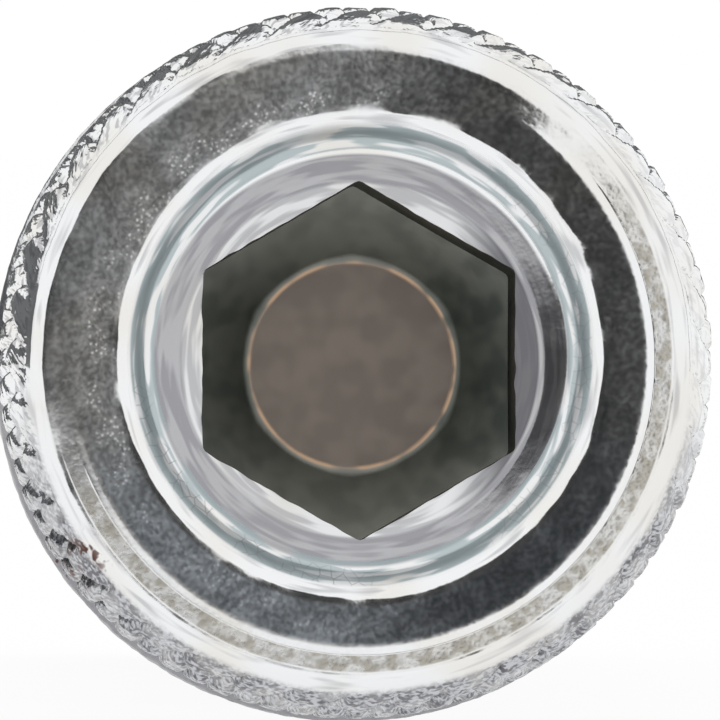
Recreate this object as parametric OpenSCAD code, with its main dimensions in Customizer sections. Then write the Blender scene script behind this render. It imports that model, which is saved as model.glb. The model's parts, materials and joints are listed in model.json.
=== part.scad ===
// Concrete screw anchor with a knurled cylinder head and a hexagon socket.
// It is one forged and thread-rolled piece of steel, zinc plated.
// It is built upright, with the head's face at z = 0 and the shank below it,
// and then laid down as it comes to rest: on the head's rim and the thread.

/* [Head] */
// Diameter of the head over the tops of the knurl
head_d = 13.7; // [13:0.1:16]
// Height of the head, from its face to the bearing face
head_h = 8; // [7:0.5:12]
// Radius of the rounding between the face and the knurled side
edge_round = 0.42; // [0.3:0.02:0.6]
// How far in the knurled side has drawn where the rounding starts
side_draw = 0.44; // [0.3:0.02:0.6]
// Length of the drawn-in stretch at the top of the side
side_draw_h = 1.9; // [1.2:0.1:2.4]
// Diameter of the plain collar at the foot of the head
collar_d = 13.8; // [13.75:0.05:16.5]
// Height of the plain collar
collar_h = 2; // [1.2:0.1:3]
// Chamfer around both edges of the collar
collar_chamfer = 0.3; // [0.1:0.05:0.5]

/* [Knurl] */
// Number of diamonds around the head
knurl_count = 40; // [30:1:44]
// Depth of the grooves between the diamonds
knurl_depth = 0.42; // [0.2:0.02:0.5]
// Angle between a groove and the head's axis, in degrees
knurl_angle = 30; // [25:1:40]
// Share of a groove's pitch that is left as a flat top
knurl_flat = 0.4; // [0.3:0.05:0.5]

/* [Socket] */
// Width of the hexagon across its flats
socket_af = 6; // [5:0.5:6]
// Depth of the socket's round floor below the face
socket_depth = 5.5; // [5:0.25:6]
// Diameter of the flat round floor
socket_floor_d = 4; // [3:0.1:4.4]
// Slope of the ring between the round floor and the hexagon, in degrees
socket_floor_slope = 30; // [20:1:40]
// Diameter of the countersunk mouth of the hexagon
mouth_d = 6.9; // [6.8:0.05:7.2]
// Depth of the dish around the mouth
dish_depth = 0.5; // [0.3:0.05:0.7]
// Diameter of the dish's bottom
dish_bottom_d = 7.9; // [7.5:0.1:8.2]
// Fall of the dish's bottom towards the mouth, in degrees
dish_fall = 4; // [2:1:12]
// Diameter at which the dish's rounded lip meets the face
dish_lip_d = 9.4; // [9.2:0.1:10]

/* [Shank] */
// Length from the bearing face to the tip
shank_l = 60; // [50:1:80]
// Diameter of the plain neck under the head
neck_d = 7.9; // [7.6:0.1:8.4]
// Length of the plain neck
neck_l = 5; // [3:0.5:10]
// Fillet between the neck and the bearing face
neck_fillet = 0.5; // [0.3:0.1:0.8]
// Diameter of the core between the threads
core_d = 7.5; // [7:0.1:7.6]
// Length of the chamfered tip
tip_l = 1.6; // [1:0.1:2.5]
// Diameter of the tip's flat end
tip_d = 5.4; // [4.5:0.1:6]

/* [Thread] */
// Diameter over the thread's crest
thread_d = 10.6; // [9.6:0.1:11]
// Rise of the thread in one turn
thread_pitch = 5.8; // [5:0.1:8]
// Width of the thread where it meets the core
thread_root_w = 1.8; // [1.4:0.1:2.2]
// Width of the thread's crest
thread_crest_w = 0.26; // [0.2:0.02:0.5]
// Turns over which the thread fades into the core at each end
thread_fade = 0.6; // [0.3:0.1:1]
// Turns next to the tip that carry cutting notches
notched_turns = 2; // [1:0.5:4]
// Number of cutting notches in one turn
notch_count = 14; // [10:1:18]
// Depth of the cutting notches
notch_depth = 0.6; // [0.3:0.05:0.9]

/* [Hidden] */
$fn = 96;

// How far a cut runs past a surface, or a piece reaches into its neighbour
past = 1;

head_r = head_d / 2;
collar_r = collar_d / 2;
collar_top = -head_h + collar_h;
thread_r = thread_d / 2;
core_r = core_d / 2;

// Radius and slope of the long arc by which the top of the side draws in
draw_r = (pow(side_draw, 2) + pow(side_draw_h, 2)) / (2 * side_draw);
draw_a = asin(side_draw_h / draw_r);
// The rounding carries the side's slope on to the flat face
face_r = head_r - side_draw - edge_round * cos(draw_a);
round_h = edge_round * (1 - sin(draw_a));

// Knurl lattice: the grooves run corner to corner through its half cells,
// and its lowest row lies inside the collar
knurl_cols = 2 * knurl_count;
knurl_row_h = PI * head_d / knurl_cols / tan(knurl_angle);
knurl_rows = ceil((head_h - collar_h + past) / knurl_row_h);
knurl_groove_r = head_r - knurl_depth;
knurl_peak_r = knurl_groove_r + knurl_depth / (1 - knurl_flat);

// Thread: three steps to each notch, the last of them at the notch's bottom
steps_at = [0, 0.5, 0.75];
thread_top = head_h + neck_l + thread_root_w;
thread_end = head_h + shank_l - tip_l - thread_root_w / 2;
thread_turns = floor((thread_end - thread_top) / thread_pitch * notch_count) / notch_count;
// How deep the ridge's root lies in the core, and the largest share of its
// height that a notch takes
thread_sunk = 0.25;
notch_share = 0.6;

// At rest the first full crest from the tip faces down
rest_turn = ceil(thread_fade * notch_count) / notch_count;
rest_at = thread_end - rest_turn * thread_pitch;
rest_from = head_h - collar_chamfer;
rest_tilt = atan((collar_r - thread_r) / (rest_at - rest_from));
rest_h = rest_from * sin(rest_tilt) + collar_r * cos(rest_tilt);
rest_y = ((head_h + shank_l) * cos(rest_tilt) + (tip_d / 2 - face_r) * sin(rest_tilt)) / 2;

// Points of an arc, both ends among them
function arc(x, z, r, from, to, steps = 8) =
    [for (i = [0:steps]) let (a = from + (to - from) * i / steps) [x + r * cos(a), z + r * sin(a)]];

// The head above its collar, before it is knurled
module head_blank() {
    rotate_extrude()
        polygon(concat(
            [[0, 0]],
            arc(face_r, -edge_round, edge_round, 90, draw_a),
            arc(head_r - draw_r, -round_h - side_draw_h, draw_r, draw_a, 0),
            [[head_r, collar_top - past], [0, collar_top - past]]
        ));
}

// The plain collar, with the bearing face under it
module collar() {
    rotate_extrude()
        polygon([
            [0, collar_top],
            [collar_r - collar_chamfer, collar_top],
            [collar_r, collar_top - collar_chamfer],
            [collar_r, -head_h + collar_chamfer],
            [collar_r - collar_chamfer, -head_h],
            [0, -head_h]
        ]);
}

// A lattice of pyramids around the head; what is left of them inside the
// blank are the diamonds
module knurl_lattice() {
    function is_groove(i, j) = (i + j) % 2 == 0;
    function at(i, j) = j * knurl_cols + i % knurl_cols;
    points = [
        for (j = [0:knurl_rows], i = [0:knurl_cols - 1])
            let (r = is_groove(i, j) ? knurl_groove_r : knurl_peak_r, a = 360 * i / knurl_cols)
            [r * cos(a), r * sin(a), collar_top - collar_chamfer + j * knurl_row_h]
    ];
    sides = [
        for (j = [0:knurl_rows - 1], i = [0:knurl_cols - 1])
            each is_groove(i, j)
                ? [[at(i, j), at(i + 1, j + 1), at(i + 1, j)], [at(i, j), at(i, j + 1), at(i + 1, j + 1)]]
                : [[at(i, j), at(i, j + 1), at(i + 1, j)], [at(i + 1, j), at(i, j + 1), at(i + 1, j + 1)]]
    ];
    ends = [
        [for (i = [0:knurl_cols - 1]) at(i, 0)],
        [for (i = [knurl_cols - 1:-1:0]) at(i, knurl_rows)]
    ];
    polyhedron(points, concat(sides, ends), convexity = 4);
}

// The dish, the countersunk mouth and the forged hexagon with its round floor
module socket() {
    corner_r = socket_af / sqrt(3);
    mouth_z = dish_depth + (dish_bottom_d - mouth_d) / 2 * tan(dish_fall);
    mouth_h = (mouth_d - socket_floor_d) / 2;
    slope_h = (corner_r + past - socket_floor_d / 2) * tan(socket_floor_slope);
    rotate_extrude()
        polygon(concat(
            [[0, past], [dish_lip_d / 2, past]],
            arc(dish_lip_d / 2, -dish_depth, dish_depth, 90, 150, 6),
            [
                [dish_bottom_d / 2, -dish_depth],
                [mouth_d / 2, -mouth_z],
                [mouth_d / 2 - mouth_h, -mouth_z - mouth_h],
                [0, -mouth_z - mouth_h]
            ]
        ));
    intersection() {
        rotate([0, 0, 30])
            translate([0, 0, -socket_depth])
                cylinder(h = socket_depth, r = corner_r, $fn = 6);
        rotate_extrude()
            polygon([
                [0, -socket_depth],
                [socket_floor_d / 2, -socket_depth],
                [corner_r + past, -socket_depth + slope_h],
                [corner_r + past, past],
                [0, past]
            ]);
    }
}

module neck_and_core() {
    tip_z = -head_h - shank_l;
    rotate_extrude()
        polygon(concat(
            [[0, -head_h + past], [neck_d / 2 + neck_fillet, -head_h + past]],
            arc(neck_d / 2 + neck_fillet, -head_h - neck_fillet, neck_fillet, 90, 180, 6),
            [
                [neck_d / 2, -head_h - neck_l],
                [core_r, -head_h - neck_l - (neck_d - core_d) / 2],
                [core_r, tip_z + tip_l],
                [tip_d / 2, tip_z],
                [0, tip_z]
            ]
        ));
}

// Crest radius of the thread, t turns above its lower end
function crest_r(t) =
    let (fade = min(1, t / thread_fade, (thread_turns - t) / thread_fade))
    core_r - thread_sunk / 2 + (thread_r - core_r + thread_sunk / 2) * fade;

// One right-handed ridge, with cutting notches in its first turns
module thread() {
    steps = 3 * round(thread_turns * notch_count);
    function turn(k) = (floor(k / 3) + steps_at[k % 3]) / notch_count;
    function cut(k) = k % 3 == 2 && turn(k) < notched_turns + thread_fade
        ? min(notch_depth, (crest_r(turn(k)) - core_r + thread_sunk / 2) * notch_share)
        : 0;
    points = [
        for (k = [0:steps])
            let (t = turn(k), a = 360 * (t - rest_turn) - 90, z = t * thread_pitch - thread_end,
                 b = core_r - thread_sunk, c = crest_r(t) - cut(k),
                 root = thread_root_w / 2, crest = thread_crest_w / 2)
            for (p = [[b, -root], [c, -crest], [c, crest], [b, root]])
                [p[0] * cos(a), p[0] * sin(a), z + p[1]]
    ];
    polyhedron(points, concat(
        [[3, 2, 1, 0]],
        [for (k = [0:steps - 1], e = [0:3]) let (f = (e + 1) % 4)
            each [[4 * k + e, 4 * k + f, 4 * k + 4 + e], [4 * k + f, 4 * k + 4 + f, 4 * k + 4 + e]]],
        [[for (e = [0:3]) 4 * steps + e]]
    ), convexity = 10);
}

module screw_anchor() {
    color([0.76, 0.77, 0.78])
        translate([0, -rest_y, rest_h])
            rotate([90 - rest_tilt, 0, 0])
                union() {
                    difference() {
                        union() {
                            intersection() {
                                head_blank();
                                knurl_lattice();
                            }
                            collar();
                        }
                        socket();
                    }
                    neck_and_core();
                    thread();
                }
}

screw_anchor();
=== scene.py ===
# %% [markdown]
# # A zinc-plated concrete screw
#
# The screw is one piece of steel: a knurled cylinder head with a hexagon
# socket, a plain neck and a coarse thread. This lesson starts from the packed
# model of the screw, models the same piece again as a fine mesh, gives it a
# finish that only comes from shader nodes, and lights it so that bright metal
# reads as metal.

import json
import math

import bmesh
import bpy
from mathutils import Matrix, Vector, noise


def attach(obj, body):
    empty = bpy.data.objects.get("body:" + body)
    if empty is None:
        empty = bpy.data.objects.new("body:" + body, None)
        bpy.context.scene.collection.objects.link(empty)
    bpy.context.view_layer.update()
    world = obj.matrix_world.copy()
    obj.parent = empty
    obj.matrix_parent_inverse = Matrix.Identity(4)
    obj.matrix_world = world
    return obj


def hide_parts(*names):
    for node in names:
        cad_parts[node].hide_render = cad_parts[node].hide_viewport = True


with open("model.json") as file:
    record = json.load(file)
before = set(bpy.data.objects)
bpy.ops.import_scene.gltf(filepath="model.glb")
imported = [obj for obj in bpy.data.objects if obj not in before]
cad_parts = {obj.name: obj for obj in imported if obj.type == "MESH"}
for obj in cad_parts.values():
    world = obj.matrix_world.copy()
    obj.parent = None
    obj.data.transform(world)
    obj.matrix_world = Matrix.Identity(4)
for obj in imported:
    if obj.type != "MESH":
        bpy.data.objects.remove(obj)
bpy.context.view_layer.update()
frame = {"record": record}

# %% [markdown]
# ## Sizes, and the screw's own upright frame
#
# A turned part is easiest to model upright, around the Z axis, with the face of
# the head at z = 0 and the shank below it. The lengths are in millimetres, the
# maker's own unit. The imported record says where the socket's mouth is and which
# way it faces on the screw as it lies, so one matrix laid over the finished
# mesh puts every point in its place, and the object itself stays unturned.

# %% Sizes in millimetres
HEAD_R = 6.85
HEAD_H = 8.0
COLLAR_R = 6.9
COLLAR_H = 2.0
COLLAR_CHAMFER = 0.3
EDGE_ROUND = 0.42
SIDE_DRAW = 0.44
SIDE_DRAW_H = 1.9

KNURL_COUNT = 40
KNURL_DEPTH = 0.42
KNURL_ANGLE = 30
KNURL_FLAT = 0.4

SOCKET_AF = 6.0
SOCKET_DEPTH = 5.5
DISC_R = 2.0
FLOOR_SLOPE = 30
MOUTH_R = 3.45
DISH_DEPTH = 0.5
LIP_R = 4.7

NECK_R = 3.95
NECK_L = 5.0
NECK_FILLET = 0.5
CORE_R = 3.75
SHANK_L = 60.0
TIP_L = 1.6
TIP_R = 2.7

THREAD_R = 5.3
PITCH = 5.8
ROOT_W = 1.8
CREST_W = 0.26
FADE = 0.6
NOTCHED_TURNS = 2
NOTCHES = 14
NOTCH_DEPTH = 0.6

MM = 0.001

# %% Lay the upright screw down where the frame has it
socket_mount = next(m for m in frame["record"]["mounts"] if m["name"] == "hexagon_socket")
out_of_face = Vector(socket_mount["axis"]).normalized()
face_centre = Vector(socket_mount["pos_m"]) + out_of_face * DISH_DEPTH * MM
screw_x = Vector((1, 0, 0))
screw_y = out_of_face.cross(screw_x)
lay_down = Matrix.Translation(face_centre) @ Matrix((screw_x, screw_y, out_of_face)).transposed().to_4x4()
lay_down = lay_down @ Matrix.Scale(MM, 4)
print("the face tips up by", round(math.degrees(math.asin(out_of_face.z)), 2), "degrees")

# %% [markdown]
# ## Profiles that are spun
#
# Nearly every surface of a cold-forged head is a surface of revolution, so the
# work is in its section. Each profile is a short chain of points in the XZ
# plane, with arcs written as arcs, and the spin operator carries it round the
# axis. An integer layer remembers which point of the profile a vertex came
# from, because the socket's rings are pushed out to a hexagon afterwards.


# %% Helpers for profiles and spins
def arc(r, z, radius, start, end, steps):
    """Points on an arc in the XZ plane, with both ends, angles in degrees."""
    angles = [math.radians(start + (end - start) * i / steps) for i in range(steps + 1)]
    return [(r + radius * math.cos(a), z + radius * math.sin(a)) for a in angles]


def line(start, end, steps):
    """Evenly spaced points from start to end, without the first."""
    return [tuple(Vector(start).lerp(Vector(end), i / steps)) for i in range(1, steps + 1)]


def add_chain(bm, points):
    """A chain of vertices and edges in the XZ plane, numbered in the ring layer."""
    ring = bm.verts.layers.int["ring"]
    verts = [bm.verts.new((r, 0, z)) for r, z in points]
    for number, vert in enumerate(verts, 1):
        vert[ring] = number
    return verts + [bm.edges.new(pair) for pair in zip(verts, verts[1:])]


def all_of(bm):
    return bm.verts[:] + bm.edges[:] + bm.faces[:]


def spun(points, steps, sectors=20):
    """A new bmesh with the profile spun round the Z axis: one sector, then its copies."""
    bm = bmesh.new()
    bm.verts.layers.int.new("ring")
    sector = 2 * math.pi / sectors
    bmesh.ops.spin(bm, geom=add_chain(bm, points), cent=(0, 0, 0), axis=(0, 0, 1),
                   angle=sector, steps=steps // sectors)
    bmesh.ops.spin(bm, geom=all_of(bm), cent=(0, 0, 0), axis=(0, 0, 1), angle=sector * (sectors - 1),
                   steps=sectors - 1, use_duplicate=True)
    bmesh.ops.remove_doubles(bm, verts=bm.verts, dist=1e-4)
    return bm


def polar(co):
    """Radius and angle of a point round the Z axis."""
    return math.hypot(co.x, co.y), math.atan2(co.y, co.x)


def set_polar(vert, radius, angle):
    vert.co.x, vert.co.y = radius * math.cos(angle), radius * math.sin(angle)


# %% [markdown]
# ## The face: flat ring, lip, dish and hexagon socket
#
# A punch pressed the socket in, which drew the metal round it down into a dish
# with a rounded lip. The punch has a round flat nose with a slope round it, and
# a cone above the hexagon, so the socket has a round floor, a sloping ring and a
# countersunk mouth whose edge dips on each flat. Outside the lip lies a flat
# ring, and a narrow band beyond it falls away by a few degrees. A boolean cut
# would leave long thin faces on the cone. Here the rings of the spun profile are
# pushed out to the hexagon instead, and where a ring lies on a slope its height
# follows, so the faces stay regular and the light runs over them cleanly.

# %% Spin the face and push the socket's rings out to the hexagon
FACE_STEPS = 320
DISH_FALL = math.tan(math.radians(5))
RING_FALL = math.tan(math.radians(0.7))
BREAK_R = 5.5
BAND_R = 5.62
BREAK_FALL = math.tan(math.radians(3.5))
BAND_FALL = math.tan(math.radians(2))
CONE_SLOPE = 0.6
CORNER_ROUND = 0.05

slope = math.tan(math.radians(FLOOR_SLOPE))
lip_wall = math.radians(60)
fillet_r = 0.25
lip_round = 0.5
dish_z = -DISH_DEPTH
fillet_out = 4.19
fillet_in = fillet_out - fillet_r * (math.sin(lip_wall) - math.sin(math.atan(DISH_FALL)))
ring_z = -(BREAK_R - LIP_R) * RING_FALL
mouth_z = dish_z - (fillet_in - MOUTH_R) * DISH_FALL


def hexagon_r(angle):
    """Distance to the hexagon's flat at this angle, with the corners eased."""
    fold = (angle + math.pi / 6) % (math.pi / 3) - math.pi / 6
    flat = SOCKET_AF / 2 / math.cos(fold)
    corner = SOCKET_AF / 2 / math.cos(math.pi / 6) - CORNER_ROUND / 3
    return flat - CORNER_ROUND * math.log(1 + math.exp((flat - corner) / CORNER_ROUND * 4)) / 4


def floor_z(radius):
    return -SOCKET_DEPTH + (radius - DISC_R) * slope


def cone_z(radius):
    return mouth_z - (MOUTH_R - radius) * CONE_SLOPE


disc = [(r, -SOCKET_DEPTH) for r in (0, 0.5, 1.0, 1.5, 1.85, 1.96)]
slope_steps, wall_steps, cone_steps = 8, 12, 6
socket_rings = len(disc)
# the rings of the slope, the wall and the cone only need to stay apart here: the loop below places them
profile = disc + [(DISC_R + 0.1 * i, -SOCKET_DEPTH + 0.05 * i) for i in range(slope_steps + 1)]
profile += [(3.0, -4.5 + 0.2 * i) for i in range(1, wall_steps + 1)]
profile += [(3.2, -1.0 + 0.05 * i) for i in range(1, cone_steps)] + [(MOUTH_R, mouth_z)]
profile += line((MOUTH_R, mouth_z), (fillet_in, dish_z), 4)
profile += arc(fillet_in, dish_z + fillet_r, fillet_r, -86, -30, 5)[1:]
profile += line(profile[-1], (LIP_R - lip_round * math.sin(lip_wall), ring_z - lip_round / 2), 2)
profile += arc(LIP_R, ring_z - lip_round, lip_round, 150, 90, 10)[1:]
profile += line(profile[-1], (BREAK_R, 0), 8) + [(BREAK_R + 0.04, -0.04 * BREAK_FALL)]
profile += line(profile[-1], (BAND_R, (BREAK_R - BAND_R) * BREAK_FALL), 2)
seam_r, seam_z = 5.8, profile[-1][1] - (5.8 - BAND_R) * BAND_FALL
profile += line(profile[-1], (seam_r, seam_z), 2)

face = spun(profile, FACE_STEPS)
ring = face.verts.layers.int["ring"]
for vert in face.verts:
    number = vert[ring] - socket_rings - 1
    radius, angle = polar(vert.co)
    wall = hexagon_r(angle)
    if 0 <= number <= slope_steps:
        radius = DISC_R + (wall - DISC_R) * number / slope_steps
        vert.co.z = floor_z(radius)
    elif slope_steps < number <= slope_steps + wall_steps:
        share = (number - slope_steps) / wall_steps
        worn = 0.03 * noise.noise(Vector((5 * math.cos(angle), 5 * math.sin(angle), 0)) * 2)
        radius = wall + worn * share ** 8
        vert.co.z = floor_z(wall) + (cone_z(wall) - floor_z(wall)) * share
    elif slope_steps + wall_steps < number < slope_steps + wall_steps + cone_steps:
        share = (number - slope_steps - wall_steps) / cone_steps
        radius = wall + (MOUTH_R - wall) * share
        vert.co.z = cone_z(radius)
    else:
        continue
    set_polar(vert, radius, angle)
print("face:", len(face.faces), "faces")

# %% [markdown]
# ## The side: diamonds rolled into the head
#
# Knurling wheels press two sets of grooves into the blank, one leaning each
# way, and the flat tops between them are diamonds. One wheel bites a little
# less deep, so the diamonds read as strokes that lean to one side. The blank is
# spun with many fine rings. Then each vertex is pulled in to the groove's
# surface wherever that lies below the blank, which also makes the grooves run
# out on the rounded edge, as the real ones do. A grid that is matched to the
# grooves keeps their bottoms on its diagonals, where they can't break into
# steps, and it costs far less than displacing a dense mesh with a picture.

# %% Spin the side and press the knurl into it
SIDE_STEPS = KNURL_COUNT * 16
SECOND_SHARE = 0.75
cell_h = 2 * math.pi * HEAD_R / KNURL_COUNT / math.tan(math.radians(KNURL_ANGLE))
ring_gap = cell_h / 16
groove_r = HEAD_R - KNURL_DEPTH
groove_rise = KNURL_DEPTH / (1 - KNURL_FLAT)

draw_r = (SIDE_DRAW ** 2 + SIDE_DRAW_H ** 2) / (2 * SIDE_DRAW)
draw_a = math.degrees(math.asin(SIDE_DRAW_H / draw_r))
edge_r = HEAD_R - SIDE_DRAW - EDGE_ROUND * math.cos(math.radians(draw_a))
edge_h = EDGE_ROUND * (1 - math.sin(math.radians(draw_a)))
collar_top = -HEAD_H + COLLAR_H

face_drop = seam_z - (edge_r - seam_r) * BAND_FALL
side = [(seam_r + 0.02, seam_z - 0.02 * BAND_FALL)] + line((seam_r + 0.02, seam_z), (edge_r, face_drop), 3)
side += [(r, z + face_drop) for r, z in arc(edge_r, -EDGE_ROUND, EDGE_ROUND, 86, draw_a, 11)]
side += arc(HEAD_R - draw_r, -edge_h - SIDE_DRAW_H, draw_r, draw_a, 0, 19)[1:]
side_rings = round((side[-1][1] - collar_top) / ring_gap)
side += line(side[-1], (HEAD_R, collar_top), side_rings)
side += [(COLLAR_R - COLLAR_CHAMFER, collar_top - 0.002),
         (COLLAR_R - 0.04, collar_top - COLLAR_CHAMFER + 0.04),
         (COLLAR_R, collar_top - COLLAR_CHAMFER - 0.04)]
side += line(side[-1], (COLLAR_R, -HEAD_H + COLLAR_CHAMFER), 4)
side += [(COLLAR_R - COLLAR_CHAMFER + 0.03, -HEAD_H + 0.03), (COLLAR_R - COLLAR_CHAMFER - 0.03, -HEAD_H)]
side += line(side[-1], (NECK_R + NECK_FILLET, -HEAD_H), 3)


def half_wave(x):
    """0 on each groove's bottom and 1 half way between two grooves."""
    return 2 * abs(x - round(x))


def lower_of(a, b, soft):
    """The smaller of two values, with the corner between them rounded."""
    gap = max(soft - abs(a - b), 0) / soft
    return min(a, b) - gap * gap * soft / 4


head = spun(side, SIDE_STEPS)
for vert in head.verts:
    radius, angle = polar(vert.co)
    if vert.co.z > collar_top - 0.001 and radius > groove_r - 0.1:
        turn = angle / (2 * math.pi) * KNURL_COUNT
        lean = vert.co.z / cell_h
        second = SECOND_SHARE * half_wave(turn + lean) + 1 - SECOND_SHARE
        height = lower_of(half_wave(turn - lean), second, 0.2)
        set_polar(vert, lower_of(radius, groove_r + groove_rise * height, 0.04), angle)
print("side:", len(head.faces), "faces")

# %% [markdown]
# ## The thread: one pitch of section, spun with a rise
#
# A rolled thread has no seam between its ridge and the core. So the chain that
# is spun here is one whole pitch of the shank's outline, from core over the
# ridge and back to the core, and each step of the spin also climbs by its share
# of the pitch. After a full turn the chain has climbed exactly its own length,
# and the turns are stitched by merging their doubles. The ridge then fades into
# the core at both ends, and the first turns get the notches that cut concrete.

# %% Spin the thread, fade its ends and cut the notches
TURN_STEPS = NOTCHES * 8
thread_top = HEAD_H + NECK_L + ROOT_W
thread_end = HEAD_H + SHANK_L - TIP_L - ROOT_W / 2
turns = math.floor((thread_end - thread_top) / PITCH * NOTCHES) / NOTCHES
rest_turn = math.ceil(FADE * NOTCHES) / NOTCHES
low_turn, high_turn = -1, math.ceil(turns) + 1

half = PITCH / 2
ridge = [(CORE_R, -half), (CORE_R, -half / 1.6), (CORE_R, -ROOT_W / 2 - 0.25),
         (CORE_R + 0.03, -ROOT_W / 2), (CORE_R + 0.14, -ROOT_W / 2 + 0.12)]
ridge += line(ridge[-1], (THREAD_R - 0.06, -CREST_W / 2 - 0.02), 3)
ridge += [(THREAD_R, -CREST_W / 2 + 0.05), (THREAD_R, 0)]
ridge += [(r, -z) for r, z in reversed(ridge[:-1])]


def notch(turn):
    """How deep the crest is cut at this turn, from 0 to 1."""
    if turn > NOTCHED_TURNS + FADE:
        return 0
    return max(0, 1 - abs(turn * NOTCHES % 1 - 0.75) * 4)


shank = bmesh.new()
shank.verts.layers.int.new("ring")
bmesh.ops.spin(shank, geom=add_chain(shank, ridge), cent=(0, 0, 0), axis=(0, 0, 1),
               dvec=(0, 0, PITCH / TURN_STEPS), angle=2 * math.pi, steps=TURN_STEPS)
bmesh.ops.spin(shank, geom=all_of(shank), cent=(0, 0, 0), axis=(0, 0, 1), dvec=(0, 0, PITCH), angle=0,
               steps=high_turn - low_turn - 1, use_duplicate=True)
bmesh.ops.remove_doubles(shank, verts=shank.verts, dist=1e-3)
for vert in shank.verts:
    radius, angle = polar(vert.co)
    share = angle / (2 * math.pi) % 1
    turn = round(vert.co.z / PITCH - share) + share + low_turn
    fade = max(0, min(1, turn / FADE, (turns - turn) / FADE))
    height = (radius - CORE_R) * fade
    crest = THREAD_R - CORE_R - NOTCH_DEPTH * notch(turn)
    set_polar(vert, CORE_R + min(height, max(crest, 0)), angle + 2 * math.pi * (0.75 - rest_turn))
    vert.co.z += low_turn * PITCH - thread_end

core_top = -HEAD_H - NECK_L - (NECK_R - CORE_R)
core_end = -HEAD_H - SHANK_L + TIP_L
for height, up in ((core_top - 0.1, 1), (core_end + 0.1, -1)):
    bmesh.ops.bisect_plane(shank, geom=all_of(shank), plane_co=(0, 0, height), plane_no=(0, 0, up),
                           clear_outer=True)
print("thread:", round(turns, 2), "turns,", len(shank.faces), "faces")

# %% [markdown]
# ## One closed skin
#
# The parts are still open shells that end in rings of the same size. They are
# copied into one mesh, the gaps between facing rings are closed with
# bridge_loops, and the normals are recalculated once the doubles are gone. A
# piece that was forged as one is one mesh, and a closed one.

# %% Join the shells and close the gaps between their rings
neck = spun(arc(NECK_R + NECK_FILLET, -HEAD_H - NECK_FILLET, NECK_FILLET, 92, 180, 7)
            + line((NECK_R, -HEAD_H - NECK_FILLET), (NECK_R, -HEAD_H - NECK_L), 5)
            + [(CORE_R + 0.02, core_top + 0.02), (CORE_R, core_top - 0.05)], TURN_STEPS, 14)
tip_z = core_end - TIP_L
tip = spun([(CORE_R, core_end + 0.05), (CORE_R - 0.02, core_end - 0.02), (TIP_R + 0.1, tip_z + 0.1),
            (TIP_R - 0.05, tip_z), (TIP_R / 2, tip_z), (0, tip_z)], TURN_STEPS, 14)


def add_shell(bm, shell):
    """Copies a shell into the mesh and frees it."""
    mesh = bpy.data.meshes.new("shell")
    shell.to_mesh(mesh)
    shell.free()
    bm.from_mesh(mesh)
    bpy.data.meshes.remove(mesh)


def bridge_at(bm, height, reach, radius, spread):
    """Bridges the two open rings that lie near this height and radius."""
    edges = [e for e in bm.edges if e.is_boundary
             and all(abs(v.co.z - height) < reach and abs(polar(v.co)[0] - radius) < spread
                     for v in e.verts)]
    bmesh.ops.bridge_loops(bm, edges=edges)


screw = bmesh.new()
for shell in (face, head, neck, shank, tip):
    add_shell(screw, shell)
bridge_at(screw, 0, 0.1, seam_r, 0.1)
bridge_at(screw, -HEAD_H, 0.1, NECK_R + NECK_FILLET, 0.1)
bridge_at(screw, core_top - 0.075, 0.06, CORE_R, 0.05)
bridge_at(screw, core_end + 0.075, 0.06, CORE_R, 0.05)
bmesh.ops.remove_doubles(screw, verts=screw.verts, dist=1e-5)
bmesh.ops.recalc_face_normals(screw, faces=screw.faces)
print("open edges:", sum(not e.is_manifold for e in screw.edges), "of", len(screw.edges))

# %% [markdown]
# ## Forged, not machined
#
# A cold-forged and barrel-plated screw has no truly flat or round surface. The
# face waves by a few hundredths of a millimetre, the lip and the edge carry
# small dents from the barrel, and the lip came out a tenth off centre, while the
# socket itself stays on the axis. On the upper left the face stayed whole: there
# the ring runs out to the edge without its falling band. Smooth noise that is
# read at each vertex moves it by that little, and smooth steps say where. It is
# nothing in size, but bright metal mirrors its surroundings, and the waves are
# what bend the reflections. Modifiers could do this as well, but plain vertex
# moves can differ from zone to zone.


# %% Wave the surface a little
LIP_SHIFT = Vector((0.03, 0.10, 0))
WHOLE_FACE_AT, WHOLE_FACE_SPREAD = math.radians(122), math.radians(62)
RIM_R, RIM_FALL = 5.96, math.tan(math.radians(4))
WAVES = ((0.012, 1.1, 3), (0.006, 0.45, 17))
PITS = ((0.010, 0.22, 41), (0.007, 0.12, 53))
DENT = 0.02
FACE_SINK = 0.015


def wave(co, size, seed):
    return noise.noise(co / size + Vector((seed, 0, 0)))


def waves(co, rows):
    """The sum of waves, each given by its height, its size and its seed."""
    return sum(height * wave(co, size, seed) for height, size, seed in rows)


def ease(value, low, high):
    """A smooth step from 0 at low to 1 at high."""
    share = max(0, min(1, (value - low) / (high - low)))
    return share * share * (3 - 2 * share)


def fall_at(radius):
    """How far the face has fallen outside its break, at this radius."""
    radius = min(radius, edge_r)
    return max(0, min(radius, BAND_R) - BREAK_R) * BREAK_FALL + max(0, radius - BAND_R) * BAND_FALL


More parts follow.
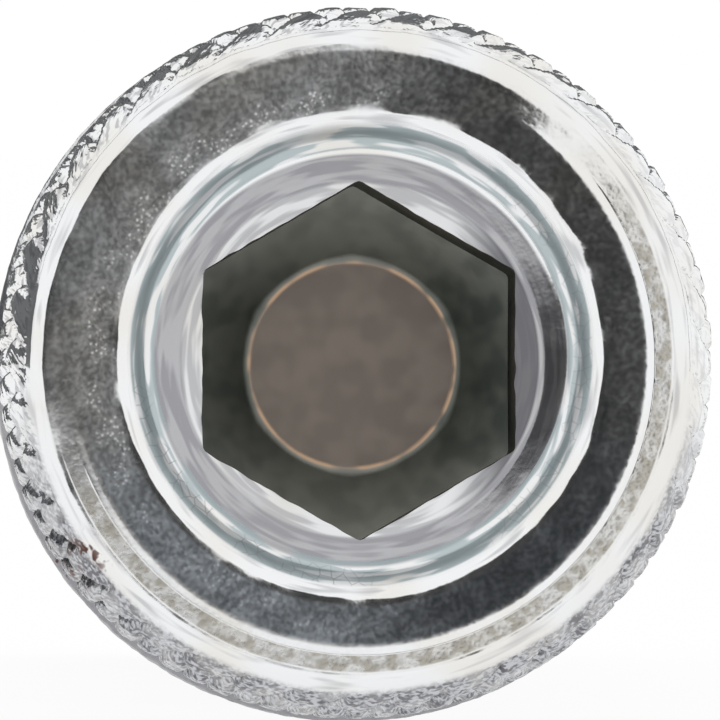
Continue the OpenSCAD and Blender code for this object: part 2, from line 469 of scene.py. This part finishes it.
furthest = 0
for vert in screw.verts:
    radius, angle = polar(vert.co)
    deep = -vert.co.z
    if deep > HEAD_H or (radius < 3.3 and deep > 0.1 - mouth_z):
        continue
    before = vert.co.copy()
    away = abs((angle - WHOLE_FACE_AT + math.pi) % (2 * math.pi) - math.pi)
    whole = 1 - ease(away, WHOLE_FACE_SPREAD, WHOLE_FACE_SPREAD + 0.3)
    rim = max(0, min(radius, edge_r) - RIM_R) * RIM_FALL
    vert.co.z += (fall_at(radius) - rim) * whole * (1 - ease(deep, 0.45, 1.5))

    rough = 0.25 + 0.75 * ease(radius, 3.95, 4.2) - 0.88 * ease(radius, 4.6, 4.85)
    rough += 0.2 * ease(radius, 5.5, 5.65) * (1 - whole)
    rough += (1 - rough) * ease(radius, 5.98, 6.2)
    low_side = ease(-vert.co.y, 0.5, 3.5) * ease(radius, 6.1, 6.3)
    pits = waves(vert.co, PITS)
    vert.co.z += waves(vert.co, WAVES) * rough + pits * low_side - FACE_SINK * (1 - ease(deep, 0.2, 0.3))
    if radius > 4.0 and rough > 0.5:
        on_edge = radius < HEAD_R - 0.45
        dents = DENT * wave(vert.co, 0.8, 29) if on_edge else DENT * (wave(vert.co, 0.3, 61) - 1)
        set_polar(vert, radius + dents * rough + pits * (0.4 + low_side), angle)
    vert.co += LIP_SHIFT * ease(radius, 3.5, 4.0) * (1 - ease(radius, 4.9, 5.6))
    furthest = max(furthest, (vert.co - before).length)
print("waved: the furthest vertex moved", round(furthest, 3), "mm")

# %% Make it an object and lay it down
SHARP_ANGLE = 38
mesh = bpy.data.meshes.new("screw_anchor_plated")
screw.transform(lay_down)
screw.to_mesh(mesh)
screw.free()
for polygon in mesh.polygons:
    polygon.use_smooth = True
mesh.set_sharp_from_angle(angle=math.radians(SHARP_ANGLE))
plated = bpy.data.objects.new("screw_anchor_plated", mesh)
bpy.context.scene.collection.objects.link(plated)
print("triangles:", sum(len(p.vertices) - 2 for p in mesh.polygons))

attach(plated, "root")
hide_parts("screw_anchor")

# %% [markdown]
# ## Shader maths as plain expressions
#
# A finish is mostly arithmetic: masks, mixes and thresholds. Wrapped in a small
# class, a socket can be added to and multiplied like a number, and each
# expression adds its Math nodes. Colours go through Mix nodes, and every other
# node comes from one method.


# %% A value in a node tree
class Value:
    """An output socket, or a number, that Python's operators combine."""

    def __init__(self, shader, socket):
        self.shader, self.socket = shader, socket

    def _math(self, operation, *others):
        return self.shader.node("ShaderNodeMath", {"operation": operation}, self, *others)

    def __add__(self, other):
        return self._math("ADD", other)

    __radd__ = __add__

    def __mul__(self, other):
        return self._math("MULTIPLY", other)

    __rmul__ = __mul__

    def __sub__(self, other):
        return self._math("SUBTRACT", other)

    def __rsub__(self, other):
        return self._math("MULTIPLY", -1) + other

    def root(self):
        return self._math("SQRT")

    def most(self, other):
        return self._math("MAXIMUM", other)

    def between(self, low, high):
        """0 below low, 1 above high and a smooth step from one to the other."""
        settings = {"interpolation_type": "SMOOTHSTEP"}
        return self.shader.node("ShaderNodeMapRange", settings, self, low, high, 0.0, 1.0)


class Shader:
    """A material's node tree and the one method that adds nodes to it."""

    def __init__(self, tree):
        self.tree = tree

    def node(self, kind, settings=None, *inputs, output=0, **named):
        made = self.tree.nodes.new(kind)
        for name, setting in (settings or {}).items():
            setattr(made, name, setting)
        for key, value in [*enumerate(inputs), *named.items()]:
            socket = made.inputs[key if isinstance(key, int) else key.replace("_", " ")]
            if isinstance(value, Value):
                self.tree.links.new(value.socket, socket)
            elif value is not None:
                socket.default_value = value
        return Value(self, made.outputs[output])

    def mix(self, share, first, second):
        """A colour between two colours."""
        mixer = self.tree.nodes.new("ShaderNodeMix")
        mixer.data_type = "RGBA"
        for key, value in ((0, share), (6, first), (7, second)):
            if isinstance(value, Value):
                self.tree.links.new(value.socket, mixer.inputs[key])
            else:
                mixer.inputs[key].default_value = value
        return Value(self, mixer.outputs[2])

    def distance(self, x, y, centre):
        """Distance from x, y to a centre."""
        x, y = x - centre.x, y - centre.y
        return (x * x + y * y).root()

    def noise(self, place, scale, detail, roughness=0.5):
        return self.node("ShaderNodeTexNoise", None, Vector=place, Scale=scale, Detail=detail,
                         Roughness=roughness)

    def cells(self, place, scale, feature="F1"):
        """Distance to the nearest of points scattered over the XY plane, or to the edge between two."""
        settings = {"voronoi_dimensions": "2D", "feature": feature}
        return self.node("ShaderNodeTexVoronoi", settings, Vector=place, Scale=scale)


# %% [markdown]
# ## Bright zinc, and painted shade in the socket
#
# Zinc from a barrel is a thin bright layer: pale and slightly cold, satin in the
# dish and nearly a mirror where the barrel rubbed it. It has brighter specks, a
# bumpy beige band, fine cracks on the lip, streaks that run round with the
# forging and along with the knurl, a pitted lower side, and brown spots where it
# is worn through. Painted shade is laid into the colour too: the dish and the
# countersink are greyer, the countersink darkest on its right, the grey strokes
# on the knurl are heavier on the left, the lower side is dull and blotchy, and the
# collar greys towards the lower left. Behind the head the zinc is plain, greyer
# and more satin, so the thread still reads on a pale ground. The socket is
# painted dark as shade, darkest on its right and paler at its top and bottom,
# with a brownish floor. Every mask of the face also ends at a depth, or it would
# run on down the shank, which has the same radii. All of it is placed by the
# screw's own coordinates, which a Mapping node gets back from the object's:
# millimetres from the axis, and below the face. Painted images would be quicker
# to make, but masks from radius and depth stay sharp at any distance and fit the
# shape exactly.

# %% The plated finish
COLD_ZINC = (0.88, 0.89, 0.90, 1)
WARM_ZINC = (0.84, 0.83, 0.80, 1)
GREY_ZINC = (0.34, 0.34, 0.36, 1)
# A dark grey that paints shade, in the countersink and on the head's lower side.
SHADE_DARK_ZINC = (0.13, 0.13, 0.145, 1)
PALE_ZINC = (0.56, 0.57, 0.60, 1)
BEIGE_ZINC = (0.50, 0.48, 0.43, 1)
TEAL_TINT = (0.40, 0.48, 0.50, 1)
BLUE_FILM = (0.71, 0.76, 0.82, 1)
# Painted shade of the socket: a dark and a paler grey for its walls, a brownish and a darker one for its
# floor disc.
SOCKET_SHADE_DARK = (0.085, 0.095, 0.085, 1)
SOCKET_SHADE_PALE = (0.30, 0.30, 0.27, 1)
DISC_SHADE_BROWN = (0.25, 0.215, 0.185, 1)
DISC_SHADE_DARK = (0.155, 0.13, 0.115, 1)
COPPER_EDGE = (0.46, 0.32, 0.22, 1)
RUST = (0.10, 0.045, 0.035, 1)


def plated_zinc():
    material = bpy.data.materials.new("bright_zinc")
    material.use_nodes = True
    tree = material.node_tree
    principled = tree.nodes["Principled BSDF"]
    s = Shader(tree)

    where = s.node("ShaderNodeTexCoord", output="Object")
    upright = s.node("ShaderNodeMapping", {"vector_type": "TEXTURE"}, Vector=where,
                     Location=face_centre, Rotation=lay_down.to_euler(), Scale=(MM, MM, MM))
    x = s.node("ShaderNodeSeparateXYZ", None, upright, output="X")
    y = s.node("ShaderNodeSeparateXYZ", None, upright, output="Y")
    deep = s.node("ShaderNodeSeparateXYZ", None, upright, output="Z") * -1
    radius = (x * x + y * y).root()
    from_lip = s.distance(x, y, LIP_SHIFT)
    low_side = (y * -1).between(0.5, 3.5)
    right_side = x.between(-1.0, 2.5)
    on_face = 1 - deep.between(0.3, 0.5)
    on_front = 1 - deep.between(0.85, 0.95)

    def within(value, low, high, soft):
        return value.between(low - soft, low) * (1 - value.between(high, high + soft))

    broad = s.noise(upright, 0.45, 1)
    blotches = s.noise(upright, 1.6, 1, 0.6)
    fine = s.noise(upright, 3.2, 2, 0.6)
    grain = s.noise(upright, 9.0, 1, 0.6)
    turned = s.node("ShaderNodeCombineXYZ", None, radius * 7, x * 0.8, y * 0.8)
    streaks = s.noise(turned, 1.0, 1, 0.6)
    twist = deep * (math.tan(math.radians(KNURL_ANGLE)) / HEAD_R)
    twisted = s.node("ShaderNodeVectorRotate", {"rotation_type": "Z_AXIS"}, upright, Angle=twist)
    rolled = s.noise(s.node("ShaderNodeMapping", None, twisted, Scale=(8, 8, 1.6)), 1.0, 1, 0.6)

    in_socket = deep.between(0.85, 1.0) * (1 - deep.between(6.0, 7.0)) * (1 - radius.between(3.5, 3.6))
    on_floor = in_socket * deep.between(5.0, 5.2)
    on_disc = on_floor * (1 - radius.between(DISC_R - 0.04, DISC_R + 0.02))
    disc_edge = on_floor * within(radius, 1.97, 2.0, 0.05)
    on_dish = within(radius, 3.45, 3.92, 0.08) * deep.between(0.4, 0.46) * on_front
    on_ring = within(radius, 4.75, 6.0, 0.1) * on_face
    broken = 1 - (y - x * 0.5).between(-0.6, 1.6)
    on_band = within(radius, 5.68, 5.96, 0.04) * on_face * broken
    on_side = radius.between(6.2, 6.4) * deep.between(0.1, 0.35)
    on_collar = deep.between(5.93, 5.99) * (1 - deep.between(7.6, 7.8))
    on_shank = deep.between(7.7, 7.95)
    on_cone = within(radius, 2.9, 3.42, 0.06) * deep.between(0.5, 0.56) * (1 - deep.between(0.82, 0.88))
    in_fillet = within(from_lip, 3.98, 4.4, 0.05) * on_front
    low_left = (y * -0.75 - x * 0.65).between(2.6, 3.6)
    on_lip = (within(from_lip, 4.3, 4.8, 0.1) + radius.between(5.95, 6.05)) * on_front

    zinc = s.mix(broad.between(0.4, 0.65), COLD_ZINC, WARM_ZINC)
    zinc = s.mix(on_lip * streaks.between(0.5, 0.75) * 0.5, zinc, GREY_ZINC)
    # Grey strokes along the knurl: partly the rolled streaks, partly painted shade, heavier on the left and
    # fainter on the right, where light falls.
    zinc = s.mix(on_side * rolled.between(0.48, 0.62) * (0.65 - 0.45 * right_side), zinc, GREY_ZINC)
    # Painted shade: the shallow dish is laid grey, with streaks running through the grey.
    zinc = s.mix(on_dish * (0.75 + 0.25 * streaks.between(0.4, 0.6)), zinc, GREY_ZINC)
    # Painted shade in the countersink: greyer all round, with streaks in the grey, and dark on its right,
    # where shade falls.
    zinc = s.mix(on_cone * (0.15 + 0.5 * streaks.between(0.4, 0.6)), zinc, GREY_ZINC)
    zinc = s.mix(on_cone * x.between(1.6, 2.9) * 0.9, zinc, SHADE_DARK_ZINC)
    zinc = s.mix(within(radius, 4.75, 5.4, 0.1) * on_face * low_side, zinc, BLUE_FILM)
    zinc = s.mix(on_band * (0.35 + 0.65 * fine.between(0.4, 0.6)), zinc, BEIGE_ZINC)
    # Painted shade over real pits: the head's lower side is painted dull and blotchy, standing in for the
    # shadowed floor that it mirrors.
    mottle_and_shade = s.mix((0.6 * grain + 0.4 * fine).between(0.42, 0.6), SHADE_DARK_ZINC, PALE_ZINC)
    zinc = s.mix(on_side * low_side * (0.6 + 0.4 * blotches.between(0.35, 0.6)), zinc, mottle_and_shade)
    # The collar is greyer zinc, with painted shade that deepens towards the lower left.
    zinc = s.mix(on_collar * (0.3 + 0.6 * low_left), zinc, GREY_ZINC)
    zinc = s.mix(on_shank * (0.65 + 0.25 * broad.between(0.35, 0.65)), zinc, PALE_ZINC)
    # Streaks in the fillet at the foot of the lip are darker and teal.
    zinc = s.mix(in_fillet * streaks.between(0.4, 0.52) * 0.8, zinc, TEAL_TINT)
    turn = s.node("ShaderNodeMath", {"operation": "ARCTAN2"}, x, y * -1)
    lattice = s.node("ShaderNodeCombineXYZ", None, from_lip * 4.5, turn * 17, 0.0)
    cracks = s.cells(lattice, 1.0, "DISTANCE_TO_EDGE")
    cracked = within(from_lip, 4.1, 4.4, 0.05) * low_left.most(0.6 * x.between(2.0, 3.2))
    cracked = cracked * (1 - cracks.between(0.01, 0.08)) * blotches.between(0.35, 0.45)
    zinc = s.mix(cracked * 0.5, zinc, GREY_ZINC)

    # Painted shade: the socket is painted dark, darkest on its right where shade falls, and paler at its
    # top and bottom and in blotches. Its floor disc is brownish and painted darker on the right.
    ends = (y * y).between(1.0, 6.0)
    less_shade = 0.3 * blotches.between(0.35, 0.65) + 0.25 * (1 - right_side) + 0.45 * ends
    shaded_socket = s.mix(less_shade, SOCKET_SHADE_DARK, SOCKET_SHADE_PALE)
    disc_shade = s.mix(0.4 * blotches.between(0.35, 0.65) + 0.3 * right_side, DISC_SHADE_BROWN, DISC_SHADE_DARK)
    shaded_socket = s.mix(on_disc, shaded_socket, disc_shade)
    shaded_socket = s.mix(disc_edge * (0.15 + 0.85 * blotches.between(0.4, 0.6)), shaded_socket, COPPER_EDGE)
    colour = s.mix(in_socket, zinc, shaded_socket)

    worn = (x + 5.4) * (x + 5.4) + (y + 3.85) * (y + 3.85)
    rust_spots = fine.between(0.52, 0.60) * (1 - worn.between(0.05, 0.5))
    colour = s.mix(rust_spots, colour, RUST)
    tree.links.new(colour.socket, principled.inputs["Base Color"])

    specks = 1 - s.cells(upright, 9.0).between(0.05, 0.38)
    speckled = within(radius, 4.8, 5.15, 0.25) * (1 - x.between(-1.0, 2.5)) * blotches.between(0.4, 0.6)
    speckled = speckled * (1 - 0.6 * low_side) * (0.4 + 0.6 * grain.between(0.4, 0.6))
    satin = 0.09 + 0.05 * on_ring * (1 - right_side) + 0.02 * on_ring * (blotches.between(0.3, 0.7) - 0.5)
    satin = satin + 0.022 * on_ring * (grain.between(0.35, 0.65) - 0.5)
    satin = satin + 0.09 * specks * speckled + 0.14 * on_band + 0.05 * on_dish + 0.2 * in_socket
    satin = satin + 0.16 * low_side * on_side + 0.12 * on_collar + 0.22 * in_fillet + 0.2 * on_cone
    satin = satin + 0.25 * within(from_lip, 4.22, 4.45, 0.06) * on_front + 0.12 * on_shank
    tree.links.new(satin.socket, principled.inputs["Roughness"])
    principled.inputs["Metallic"].default_value = 1.0

    height = fine * (0.18 + 0.4 * on_side + 0.6 * on_band) + grain * (0.05 + 0.35 * on_side + 0.5 * on_band)
    height = height + (1.2 - 0.8 * right_side) * rolled * on_side
    bump = s.node("ShaderNodeBump", None, Strength=1.0, Distance=0.00001, Height=height)
    tree.links.new(bump.socket, principled.inputs["Normal"])
    return material


plated.data.materials.append(plated_zinc())

# %% [markdown]
# ## The studio: white all round, dark where the metal looks
#
# Bright metal has almost no colour of its own. What it shows is the room, so
# the room is the real paint: a pale surround that every rounded edge picks up.
# The flat ring faces the camera and shows what stands round the lens, so a round
# black shade there turns it dark. The knurl looks past the screw to the back and
# the left, and grey flags there draw its strokes. Two thin hoops give the fine
# dark lines that run round the lip and the edge. Lamps alone would leave the
# metal blank, and cards are easy to aim, because a mirror's normal stands half
# way between the camera and the card. Only mirrors see the cards, so the floor
# and the view stay clean.

# %% Floor, lens shade and surround
FLOOR_SIZE = 8.0
GLOW_SHARE = 0.9


def direction(azimuth, elevation):
    """From the screw towards a camera at these angles, in degrees."""
    a, e = math.radians(azimuth), math.radians(elevation)
    return Vector((math.sin(a) * math.cos(e), -math.cos(a) * math.cos(e), math.sin(e)))


def stage_piece(name, bm, material):
    mesh = bpy.data.meshes.new(name)
    bm.to_mesh(mesh)
    bm.free()
    mesh.materials.append(material)
    piece = bpy.data.objects.new(name, mesh)
    bpy.context.scene.collection.objects.link(piece)
    print("stage piece:", name, "of", len(mesh.polygons), "faces")
    return piece


def matte(name, colour):
    material = bpy.data.materials.new(name)
    material.use_nodes = True
    principled = material.node_tree.nodes["Principled BSDF"]
    principled.inputs["Base Color"].default_value = colour
    principled.inputs["Roughness"].default_value = 0.9
    principled.inputs["Specular IOR Level"].default_value = 0
    return material


def unseen(piece):
    """Only mirrors see this piece: it neither shows nor shades the floor."""
    piece.visible_camera = piece.visible_diffuse = piece.visible_shadow = False
    return piece


def flag(name, cloth, azimuth, elevation, distance, width, height, segments=4):
    """A dark card facing the screw, which only its mirrors see."""
    bm = bmesh.new()
    bmesh.ops.create_circle(bm, cap_ends=True, radius=0.5, segments=segments)
    if segments == 4:
        bm.transform(Matrix.Rotation(math.pi / 4, 4, "Z") @ Matrix.Scale(1, 4))
        bmesh.ops.scale(bm, vec=(math.sqrt(2), math.sqrt(2), 1), verts=bm.verts)
    bmesh.ops.scale(bm, vec=(width, height, 1), verts=bm.verts)
    way = direction(azimuth, elevation)
    facing = way.to_track_quat("Z", "Y").to_matrix().to_4x4()
    bm.transform(Matrix.Translation(face_centre + way * distance) @ facing)
    return unseen(stage_piece(name, bm, cloth))


def hoop(off_axis, width, distance=0.7):
    """A thin grey hoop round the screw, at this angle from the way its face looks."""
    near, far = (math.radians(off_axis + side * width / 2) for side in (-1, 1))
    bm = bmesh.new()
    ends = [bm.verts.new((distance * math.sin(a), 0, distance * math.cos(a))) for a in (near, far)]
    bmesh.ops.spin(bm, geom=ends + [bm.edges.new(ends)], cent=(0, 0, 0), axis=(0, 0, 1),
                   angle=2 * math.pi, steps=96, use_merge=True)
    bm.transform(Matrix.Translation(face_centre) @ out_of_face.to_track_quat("Z", "Y").to_matrix().to_4x4())
    return unseen(stage_piece("hoop_%d" % off_axis, bm, GREY_CLOTH))


BLACK_CLOTH = matte("black_cloth", (0.03, 0.03, 0.03, 1))
GREY_CLOTH = matte("grey_cloth", (0.16, 0.165, 0.17, 1))


def pale_floor():
    """A pale sheet that seems lit from below to the camera and to mirrors alike."""
    material = matte("pale_floor", (0.97, 0.97, 0.97, 1))
    s = Shader(material.node_tree)
    rays = ("Is Camera Ray", "Is Glossy Ray", "Is Transmission Ray")
    camera_ray, glossy_ray, transmission_ray = (s.node("ShaderNodeLightPath", output=ray) for ray in rays)
    glow = s.node("ShaderNodeEmission", None, Color=(1, 1, 1, 1), Strength=1.0)
    painted = Value(s, material.node_tree.nodes["Principled BSDF"].outputs[0])
    seen = camera_ray.most(glossy_ray).most(transmission_ray) * GLOW_SHARE
    both = s.node("ShaderNodeMixShader", None, seen, painted, glow)
    material.node_tree.links.new(both.socket, material.node_tree.nodes["Material Output"].inputs["Surface"])
    return material


floor_bm = bmesh.new()
bmesh.ops.create_grid(floor_bm, x_segments=1, y_segments=1, size=FLOOR_SIZE / 2)
stage_piece("floor", floor_bm, pale_floor())

flag("lens_shade", BLACK_CLOTH, -4, 0.5, 0.48, 0.16, 0.16, 48)
flag("top_flag", GREY_CLOTH, -178, 19, 0.9, 0.6, 0.62)
flag("back_flag", GREY_CLOTH, -142, 9, 0.9, 0.55, 0.3)
flag("left_flag", GREY_CLOTH, -104, 8, 0.9, 0.75, 0.26)
hoop(88, 2)
hoop(110, 2)

world = bpy.data.worlds.new("pale_surround")
bpy.context.scene.world = world
world.use_nodes = True
world.node_tree.nodes["Background"].inputs["Color"].default_value = (1.0, 1.0, 1.0, 1)
world.node_tree.nodes["Background"].inputs["Strength"].default_value = 1.0
bpy.context.scene.view_settings.view_transform = "Standard"

# %% [markdown]
# ## The camera
#
# It stands in front of the head, a little to the left and a little below the
# way the face looks, so the socket's floor shows shifted in its mouth and the
# collar shows as a thin crescent. The lens follows from the distance and the
# width that has to fill the frame, so either can change without the other. A
# long lens from half a metre keeps the hexagon's sides parallel.

# %% Camera
CAMERA_DISTANCE = 0.5
CAMERA_AZIMUTH = -1.7
CAMERA_ELEVATION = 0.6
FRAME_WIDTH = 13.78 * MM
towards_camera = direction(CAMERA_AZIMUTH, CAMERA_ELEVATION)
camera_data = bpy.data.cameras.new("camera")
camera = bpy.data.objects.new("camera", camera_data)
bpy.context.scene.collection.objects.link(camera)
bpy.context.scene.camera = camera
camera_data.sensor_width = 36
camera_data.lens = camera_data.sensor_width * CAMERA_DISTANCE / FRAME_WIDTH
camera_data.clip_start, camera_data.clip_end = 0.01, 20
camera.location = face_centre + towards_camera * CAMERA_DISTANCE
camera.rotation_mode = "QUATERNION"
camera.rotation_quaternion = towards_camera.to_track_quat("Z", "Y")
print("camera: lens", round(camera_data.lens), "mm at", CAMERA_DISTANCE, "m")
